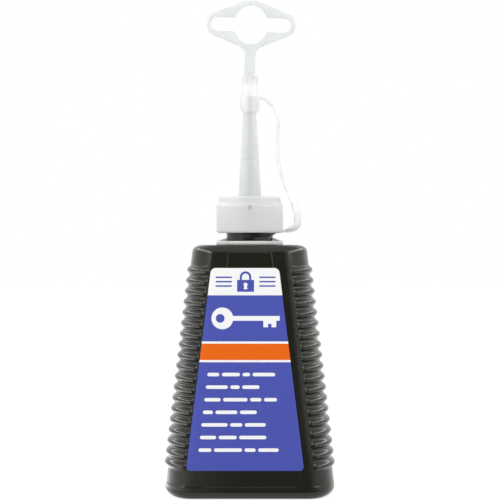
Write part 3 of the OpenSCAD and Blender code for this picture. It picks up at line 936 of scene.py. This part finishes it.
class PUFFER_OT_nozzle(Operator):
    """Turn the nozzle with its flange and plug"""
    bl_idname = "puffer.nozzle"
    bl_label = "Nozzle"

    def execute(self, context):
        settings = context.scene.puffer
        s = settings.closure
        plug = settings.bottle.neck_bore / 2 - SEAT_GAP
        bore, seat = plug - s.plug, MOUTH_Z + SEAT_GAP
        flange, flange_top = s.flange_width / 2, seat + s.flange
        root, tip, slope = s.nozzle_root / 2, s.nozzle_tip / 2, nozzle_slope(s)
        cut_z = COLLAR_TOP_Z + s.mark_up
        cut_low, cut_high = cut_z - CUT_HEIGHT / 2, cut_z + CUT_HEIGHT / 2

        def outer(z):
            return tip + slope * (TIP_Z - z)

        cut = outer(cut_z) - CUT_DEPTH
        corners = [
            (bore, NOZZLE_LOW_Z, 0.2 * MM), (plug, NOZZLE_LOW_Z, 0.4 * MM), (plug, seat, 0.1 * MM),
            (flange, seat, 0.2 * MM), (flange, flange_top, 0.2 * MM), (root, flange_top, 0.1 * MM),
            (root, COLLAR_TOP_Z, 0.4 * MM), (outer(cut_low), cut_low, 0.05 * MM),
            (cut, cut_low, 0.05 * MM), (cut, cut_high, 0.05 * MM),
            (outer(cut_high), cut_high, 0.05 * MM), (tip, TIP_Z, 0.3 * MM),
            (s.bore_tip / 2, TIP_Z, 0.15 * MM), (s.bore_tip / 2, TIP_Z - EVEN_BORE, 1 * MM),
            (s.bore_root / 2, flange_top, 0.5 * MM), (s.bore_root / 2, seat, 0.2 * MM),
            (bore, seat, 0.3 * MM)]
        nozzle = turned("nozzle_lathe", sampled(filleted(corners), 0.5 * MM))
        dress(nozzle, "nozzle", "nozzle",
              natural_polyethylene("nozzle", s.nozzle_shade, 0.38))
        # The bore's inward faces take the painted shade of the hollow core
        nozzle.data.materials.append(bore_painted_shade())
        for face in nozzle.data.polygons:
            if face.normal.xy.dot(face.center.xy) < 0:
                face.material_index = 1
        return {"FINISHED"}


# Collar: widening of its mouth, drop of its slanted step below the narrower top, height of that
# step, and how near to the bore's radius a point has to lie to take the thread
COLLAR_LEAD, STEP_DROP, STEP_HEIGHT, ON_BORE = 0.6 * MM, 0.4 * MM, 1.4 * MM, 0.05 * MM
# Notch in its front: reach to the left and the right, depth, and drop of its foot below that top
NOTCH_LEFT, NOTCH_RIGHT, NOTCH_DEPTH, NOTCH_DROP = 0.2 * MM, 0.3 * MM, 1.3 * MM, 2.0 * MM


class PUFFER_OT_collar(Operator):
    """Turn the screw collar with its inner thread"""
    bl_idname = "puffer.collar"
    bl_label = "Screw collar"

    def execute(self, context):
        s = context.scene.puffer.closure
        bore, hole = s.collar_bore / 2, s.nozzle_root / 2 + SEAT_GAP
        wide, top = s.collar_width / 2, s.collar_top_width / 2
        under, narrow = COLLAR_TOP_Z - s.collar_top, COLLAR_TOP_Z - s.collar_step
        step = narrow - STEP_DROP
        corners = [
            (bore + COLLAR_LEAD, COLLAR_LOW_Z, 0.2 * MM), (wide, COLLAR_LOW_Z, 0.7 * MM),
            (wide, step, 0.8 * MM), (top, step + STEP_HEIGHT, 0.8 * MM),
            (top, COLLAR_TOP_Z, 0.8 * MM), (hole, COLLAR_TOP_Z, 0.2 * MM), (hole, under, 0.1 * MM),
            (bore, under, 0.4 * MM), (bore, COLLAR_LOW_Z + COLLAR_LEAD, 0.2 * MM)]
        ridge = thread(SHOULDER_Z + THREAD_LOW + THREAD_PITCH, THREAD_START + COLLAR_LAG,
                       COLLAR_TURNS, (s.collar_bore - s.collar_thread) / 2)

        def inner_thread(angle, radius, z):
            return -ridge(angle, radius, z) if abs(radius - bore) < ON_BORE else 0.0

        collar = turned("screw_collar_lathe", sampled(filleted(corners), 0.2 * MM),
                        ridge=inner_thread)
        notch = block("notch", (-NOTCH_LEFT, -wide - MM, narrow - NOTCH_DROP),
                      (NOTCH_RIGHT, -wide + NOTCH_DEPTH, step))
        collar = combined(collar, notch, "DIFFERENCE")
        dress(collar, "collar", "screw_collar",
              natural_polyethylene("collar", s.collar_shade, 0.36, 2.5 * MM))
        return {"FINISHED"}


# Tip cap: radius left open round its axis, where fans close it. Its lug: how far it sinks into the
# skirt, how much thicker than the strap it is, and its rounding
CAP_AXIS = 0.3 * MM
LUG_SINK, LUG_SPARE, LUG_ROUND = 0.4 * MM, 0.1 * MM, 0.2 * MM


class PUFFER_OT_tip_cap(Operator):
    """Turn the tip cap with its strap lug and the pocket for the tag"""
    bl_idname = "puffer.tip_cap"
    bl_label = "Tip cap"

    def execute(self, context):
        settings = context.scene.puffer
        s, tag = settings.closure, settings.tag
        bore, skirt, head = s.nozzle_tip / 2 + SEAT_GAP, s.skirt_width / 2, s.head_width / 2
        mouth = bore + nozzle_slope(s) * (TIP_Z - SKIRT_LOW_Z)
        skirt_top, ceiling = SKIRT_LOW_Z + s.skirt, TIP_Z + SEAT_GAP
        corners = [
            (CAP_AXIS, ceiling, 0.0), (bore, ceiling, 0.2 * MM), (mouth, SKIRT_LOW_Z, 0.2 * MM),
            (skirt, SKIRT_LOW_Z, 0.3 * MM), (skirt, skirt_top, 0.3 * MM),
            (head, skirt_top, 0.3 * MM), (head, HEAD_TOP_Z, 1.0 * MM), (CAP_AXIS, HEAD_TOP_Z, 0.0)]
        cap = turned("tip_cap_lathe", filleted(corners), closed=False, count=96)
        half = s.strap_width / 2
        lug = block("lug", (skirt - LUG_SINK, -half, skirt_top - s.strap - LUG_SPARE),
                    (skirt + s.lug, half, skirt_top), LUG_ROUND)
        cap = combined(cap, lug, "UNION")
        wide, deep = tag.stem_width / 2 + SEAT_GAP, tag.thickness / 2 + SEAT_GAP
        pocket = block("pocket", (-wide, -deep, HEAD_TOP_Z - tag.peg - SEAT_GAP),
                       (wide, deep, HEAD_TOP_Z + MM))
        cap = combined(cap, pocket, "DIFFERENCE")
        dress(cap, "tip_cap", "tip_cap",
              natural_polyethylene("cap", s.cap_shade, 0.3, 3 * MM, cover=0.38))
        return {"FINISHED"}


# Rounding of the tag's edges, and the width below which a point lies on its middle line
TAG_BEVEL = 0.15 * MM
ON_MIDDLE = 0.001 * MM


class PUFFER_OT_hang_tag(Operator):
    """Cut the flat hang tag with its display slot"""
    bl_idname = "puffer.hang_tag"
    bl_label = "Hang tag"

    def execute(self, context):
        s = context.scene.puffer.tag
        end_x, end_r = (s.slot - s.slot_width) / 2, s.slot_width / 2 + s.web
        mid_r, slot_r, hole_r = s.hole / 2 + s.web, s.slot_width / 2, s.hole / 2
        rake = math.asin((mid_r - end_r) / end_x)
        rake_deg = math.degrees(rake)
        fillet_x = s.stem_width / 2 + s.stem_round
        fillet_y = (mid_r + s.stem_round - math.sin(rake) * fillet_x) / math.cos(rake)
        right = ([(s.stem_width / 2, -s.stem - s.peg)]
                 + arc((fillet_x, -fillet_y), s.stem_round, 180, 90 + rake_deg, 12)
                 + arc((end_x, 0), end_r, rake_deg - 90, 90 - rake_deg, 20)
                 + arc((0, 0), mid_r, 90 - rake_deg, 90, 10))
        outline = right + [(-x, y) for x, y in reversed(right) if x > ON_MIDDLE]
        dip = math.degrees(math.asin(slot_r / hole_r))
        opening = []
        for side, low, high in ((1, dip, 180 - dip), (-1, 180 + dip, 360 - dip)):
            end = arc((side * end_x, 0), slot_r, low - dip - 90, low - dip + 90, 16)
            mouth, *bow, far_mouth = [(x * s.hole_width / s.hole, y)
                                      for x, y in arc((0, 0), hole_r, low, high, 24)]
            opening += [(*point, 0.0) for point in end] + [(*mouth, s.mouth_round)]
            opening += [(*point, 0.0) for point in bow] + [(*far_mouth, s.mouth_round)]
        curve = bpy.data.curves.new("hang_tag_outline", "CURVE")
        curve.dimensions, curve.fill_mode = "2D", "BOTH"
        curve.extrude, curve.offset = s.thickness / 2 - TAG_BEVEL, -TAG_BEVEL
        curve.bevel_depth, curve.bevel_resolution = TAG_BEVEL, 3
        for loop in (outline, filleted(opening)):
            spline = curve.splines.new("POLY")
            spline.points.add(len(loop) - 1)
            for point, (x, y) in zip(spline.points, loop):
                point.co = (x, y, 0.0, 1.0)
            spline.use_cyclic_u = True
        drawn = bpy.data.objects.new("hang_tag_outline", curve)
        context.scene.collection.objects.link(drawn)
        evaluated = drawn.evaluated_get(context.evaluated_depsgraph_get())
        mesh = bpy.data.meshes.new_from_object(evaluated)
        bpy.data.objects.remove(drawn)
        upright = Matrix.Rotation(math.radians(90), 4, "X")
        stand = Matrix.Translation((0, 0, HEAD_TOP_Z)) @ Matrix.Rotation(s.lean, 4, "Y")
        mesh.transform(stand @ upright @ Matrix.Translation((0, s.stem, 0)))
        tag = finished("hang_tag_sheet", mesh, 30)
        dress(tag, "tip_cap", "hang_tag",
              natural_polyethylene("tag", s.shade, 0.55))
        return {"FINISHED"}


# Rise along the strap, bow from the straight line, and twist, as shares
STRAP_SHARES = (
    (0, 0, 0), (0.01, 0.4, 0.45), (0.04, 0.84, 0.9), (0.1, 1, 1), (0.16, 0.97, 0.85),
    (0.24, 0.82, 0.55), (0.37, 0.5, 0.32), (0.52, 0.35, 0.25), (0.68, 0.49, 0.22),
    (0.83, 0.76, 0.2), (0.9, 0.63, 0.18), (0.96, 0.39, 0.12), (1, 0, 0))
# Steps between two of them, how far the strap sinks into the collar, and rounding of its edges
STRAP_STEPS = 8
STRAP_SINK, STRAP_ROUND = 0.4 * MM, 0.3 * MM


class PUFFER_OT_strap(Operator):
    """Run the strap from the collar to the tip cap"""
    bl_idname = "puffer.strap"
    bl_label = "Strap"

    def execute(self, context):
        s = context.scene.puffer.closure
        half, thick = s.strap_width / 2, s.strap / 2
        root = Vector((s.collar_width / 2, COLLAR_LOW_Z + s.strap_width / 4))
        lug = Vector((s.skirt_width / 2 + s.lug + SEAT_GAP,
                      SKIRT_LOW_Z + s.skirt - thick - SEAT_GAP))
        # Points of the route: place to the side, height, and twist
        route = [Vector((blend(root.x, lug.x, rise) + s.strap_bow * bow,
                         blend(root.y, lug.y, rise), s.strap_twist * twist))
                 for rise, bow, twist in STRAP_SHARES]
        last = len(route) - 1

        def between(i, t):
            """A smooth curve through the route."""
            a, b, c, d = (route[min(max(k, 0), last)] for k in (i - 1, i, i + 1, i + 2))
            return b + ((c - a) * t + (2 * a - 5 * b + 4 * c - d) * t * t
                        + (3 * b - a - 3 * c + d) * t ** 3) / 2

        line = ([route[0] - Vector((STRAP_SINK, 0, 0))]
                + [between(i, t) for i in range(last) for t in steps(STRAP_STEPS)[:-1]]
                + [route[last]])
        corners = filleted([(x, y, STRAP_ROUND) for x, y in (
            (half, thick), (half, -thick), (-half, -thick), (-half, thick))], 3)
        rings = []
        for i, point in enumerate(line):
            ahead, behind = line[min(i + 1, len(line) - 1)], line[max(i - 1, 0)]
            run = (ahead - behind).xy.normalized()
            square = Vector((run.y, 0, -run.x))
            twist = point.z
            across = Vector((0, math.cos(twist), 0)) + math.sin(twist) * square
            through = math.cos(twist) * square - Vector((0, math.sin(twist), 0))
            middle = Vector((point.x, 0, point.y))
            rings.append([middle + across * a + through * b for a, b in corners])
        strap = skin("strap_ribbon", rings, crease=50)
        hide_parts("strap")
        strap.data.materials.append(natural_polyethylene("strap", s.strap_shade, 0.25, cover=0.65))
        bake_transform(strap)
        return {"FINISHED"}


# Stage, in metres

# Half width of the floor, and the dark cards in front of the bottle and on the floor
FLOOR_HALF = 4
CARD_Y = -1.1
FRONT_CARD_X, FRONT_CARD_Z = (-0.75, 0.55), (-0.36, 0.54)
FLOOR_CARD_X, FLOOR_CARD_END = (-0.04, 0.17), -0.0205
FRONT_CARD_STRENGTH, FLOOR_CARD_STRENGTH = 0.1, 0.2
# Slanted bright strips at both sides: place, ends in depth, and low and high edge at each end
STRIP_X, STRIP_Y = 0.8, (-1.1, 1.2)
STRIP_NEAR_Z, STRIP_FAR_Z = (0.26, 0.56), (0.65, 0.71)
# Bright sheets on the table beside the bottle: reach to the side, in depth, and height
TABLE_X, TABLE_Y, TABLE_Z = (0.036, 0.3), (-0.045, 0.09), 2 * MM
# Side, and strength of its strip and of its sheet
BRIGHT_SIDES = (("left", -1, 7.5, 2.6), ("right", 1, 7.5, 1.2))
# Lamps: place, width, and power in watts
SOFTBOXES = (("key_softbox", (-0.75, -0.3, 0.5), 0.3, 3.2),
             ("fill_softbox", (0.8, -0.3, 0.5), 0.3, 2.5),
             ("top_softbox", (0.0, -0.35, 0.95), 0.5, 1.8))
WHITE = (*linear("#FFFFFF"), 1.0)


def seen(tree):
    """1 for rays by which the camera sees something, also in a mirror or through glass."""
    path = add(tree, "ShaderNodeLightPath").outputs
    either = add(tree, "ShaderNodeMath", {0: path["Is Camera Ray"], 1: path["Is Glossy Ray"]},
                 operation="MAXIMUM")
    return add(tree, "ShaderNodeMath", {0: either.outputs[0], 1: path["Is Transmission Ray"]},
               operation="MAXIMUM").outputs[0]


def paper_floor():
    # Matt white paper: it bounces light as paper does, and shows as white with a soft shadow
    material = bpy.data.materials.new("matt white paper")
    tree = emptied(material)
    bounce = add(tree, "ShaderNodeBsdfDiffuse", {"Color": (*linear("#E6E6E6"), 1.0)})
    shadow = add(tree, "ShaderNodeBsdfDiffuse", {"Color": (*linear("#999999"), 1.0)})
    white = add(tree, "ShaderNodeEmission", {"Strength": 0.84})
    shown = add(tree, "ShaderNodeAddShader", {0: shadow.outputs[0], 1: white.outputs[0]})
    mixed = add(tree, "ShaderNodeMixShader",
                {0: seen(tree), 1: bounce.outputs[0], 2: shown.outputs[0]})
    add(tree, "ShaderNodeOutputMaterial", {"Surface": mixed.outputs[0]})
    return material


def dark_card(name, strength):
    # Dull black or grey card whose sides fade to white: it shows only as a dark reflection in the
    # bottle's flat panels
    material = bpy.data.materials.new(name)
    tree = emptied(material)
    place = add(tree, "ShaderNodeSeparateXYZ",
                {0: add(tree, "ShaderNodeTexCoord").outputs["Generated"]})
    across = add(tree, "ShaderNodeMath", {0: place.outputs[0], 1: 2.0, 2: -1.0},
                 operation="MULTIPLY_ADD")
    aside = add(tree, "ShaderNodeMath", {0: across.outputs[0]}, operation="ABSOLUTE")
    fade = add(tree, "ShaderNodeMapRange", {"Value": aside.outputs[0], "From Min": 0.7,
                                            "From Max": 1.0, "To Min": strength, "To Max": 1.0})
    card = add(tree, "ShaderNodeEmission", {"Strength": fade.outputs[0]})
    add(tree, "ShaderNodeOutputMaterial", {"Surface": card.outputs[0]})
    return material


def bright_card(name, strength):
    # Lit diffuser: it shows only as a bright line in the bottle's round edges
    material = bpy.data.materials.new(name)
    tree = emptied(material)
    glow = add(tree, "ShaderNodeEmission", {"Strength": strength})
    add(tree, "ShaderNodeOutputMaterial", {"Surface": glow.outputs[0]})
    return material


def level_corners(xs, ys, z):
    """Corners of a level sheet."""
    return [(xs[0], ys[0], z), (xs[1], ys[0], z), (xs[1], ys[1], z), (xs[0], ys[1], z)]


def sheet(name, material, corners):
    """A flat sheet of the stage between four corners."""
    mesh = bpy.data.meshes.new(name)
    mesh.from_pydata(corners, [], [(0, 1, 2, 3)])
    mesh.materials.append(material)
    obj = bpy.data.objects.new(name, mesh)
    bpy.context.scene.collection.objects.link(obj)
    return obj


def reflected(name, material, corners):
    """A sheet that shows only in glossy reflections."""
    obj = sheet(name, material, corners)
    obj.visible_camera = obj.visible_diffuse = obj.visible_shadow = False
    obj.visible_transmission = obj.visible_volume_scatter = False


def softbox(name, place, size, power, aim):
    """A square lamp turned to a point. It lights the matt pieces; cards stand for it in the
    glossy ones."""
    lamp = bpy.data.lights.new(name, "AREA")
    lamp.shape, lamp.size, lamp.energy = "SQUARE", size, power
    obj = bpy.data.objects.new(name, lamp)
    obj.location = place
    obj.rotation_euler = (Vector(aim) - Vector(place)).to_track_quat("-Z", "Y").to_euler()
    obj.visible_camera = obj.visible_glossy = False
    bpy.context.scene.collection.objects.link(obj)


class PUFFER_OT_stage(Operator):
    """Lay the floor, set the lamps and the world, and place the camera"""
    bl_idname = "puffer.stage"
    bl_label = "Stage"

    def execute(self, context):
        s = context.scene.puffer.stage
        scene = context.scene
        scene.view_settings.view_transform = "Standard"
        span = (-FLOOR_HALF, FLOOR_HALF)
        sheet("floor", paper_floor(), level_corners(span, span, 0))
        (left, right), (low, high) = FRONT_CARD_X, FRONT_CARD_Z
        reflected("card_front", dark_card("dull black card", FRONT_CARD_STRENGTH),
                  [(left, CARD_Y, low), (right, CARD_Y, low), (right, CARD_Y, high),
                   (left, CARD_Y, high)])
        reflected("card_floor", dark_card("dull grey card", FLOOR_CARD_STRENGTH),
                  level_corners(FLOOR_CARD_X, (CARD_Y, FLOOR_CARD_END), MM))
        for name, side, strip, table in BRIGHT_SIDES:
            x, (near, far) = side * STRIP_X, STRIP_Y
            reflected("strip_" + name, bright_card("strip diffuser, " + name, strip),
                      [(x, near, STRIP_NEAR_Z[0]), (x, far, STRIP_FAR_Z[0]),
                       (x, far, STRIP_FAR_Z[1]), (x, near, STRIP_NEAR_Z[1])])
            reflected("table_" + name, bright_card("table diffuser, " + name, table),
                      level_corners([side * reach for reach in TABLE_X], TABLE_Y, TABLE_Z))
        for lamp in SOFTBOXES:
            softbox(*lamp, aim=(0.0, 0.0, s.height))

        world = bpy.data.worlds.new("white studio")
        tree = emptied(world)
        light = add(tree, "ShaderNodeBackground", {"Color": WHITE, "Strength": s.world_light})
        white = add(tree, "ShaderNodeBackground", {"Color": WHITE, "Strength": 1.0})
        mixed = add(tree, "ShaderNodeMixShader",
                    {0: seen(tree), 1: light.outputs[0], 2: white.outputs[0]})
        add(tree, "ShaderNodeOutputWorld", {"Surface": mixed.outputs[0]})
        scene.world = world

        lens = bpy.data.cameras.new("camera")
        lens.sensor_fit, lens.sensor_width = "HORIZONTAL", 36.0
        lens.lens = lens.sensor_width * s.distance / s.view_width
        lens.clip_start, lens.clip_end = 0.01, 50.0
        camera = bpy.data.objects.new("camera", lens)
        camera.location = (s.across, -s.distance, s.height)
        camera.rotation_euler = (math.radians(90), 0.0, 0.0)
        scene.collection.objects.link(camera)
        scene.camera = camera
        return {"FINISHED"}


# Add-on

PIECES = (PUFFER_OT_stage, PUFFER_OT_bottle, PUFFER_OT_label, PUFFER_OT_powder,
          PUFFER_OT_neck_ring, PUFFER_OT_nozzle, PUFFER_OT_collar, PUFFER_OT_tip_cap,
          PUFFER_OT_hang_tag, PUFFER_OT_strap)


class VIEW3D_PT_puffer(Panel):
    """Lists the pieces and their sizes."""
    bl_label = "Powder puffer"
    bl_space_type = "VIEW_3D"
    bl_region_type = "UI"
    bl_category = "Puffer"

    def draw(self, context):
        for piece in PIECES:
            self.layout.operator(piece.bl_idname)
        settings = context.scene.puffer
        for group in (settings.bottle, settings.closure, settings.tag, settings.label,
                      settings.stage):
            box = self.layout.box()
            for name in group.bl_rna.properties.keys():
                if name not in ("rna_type", "name"):
                    box.prop(group, name)


CLASSES = (BottleSizes, ClosureSizes, TagSizes, LabelDesign, StageSettings, PufferSettings,
           *PIECES, VIEW3D_PT_puffer)


def register():
    for each in CLASSES:
        bpy.utils.register_class(each)
    bpy.types.Scene.puffer = PointerProperty(type=PufferSettings)


def unregister():
    del bpy.types.Scene.puffer
    for each in reversed(CLASSES):
        bpy.utils.unregister_class(each)


def main():
    register()
    bpy.ops.puffer.stage()
    bpy.ops.puffer.bottle()
    bpy.ops.puffer.label()
    bpy.ops.puffer.powder()
    bpy.ops.puffer.neck_ring()
    bpy.ops.puffer.nozzle()
    bpy.ops.puffer.collar()
    bpy.ops.puffer.tip_cap()
    bpy.ops.puffer.hang_tag()
    bpy.ops.puffer.strap()


if __name__ == "__main__":
    main()
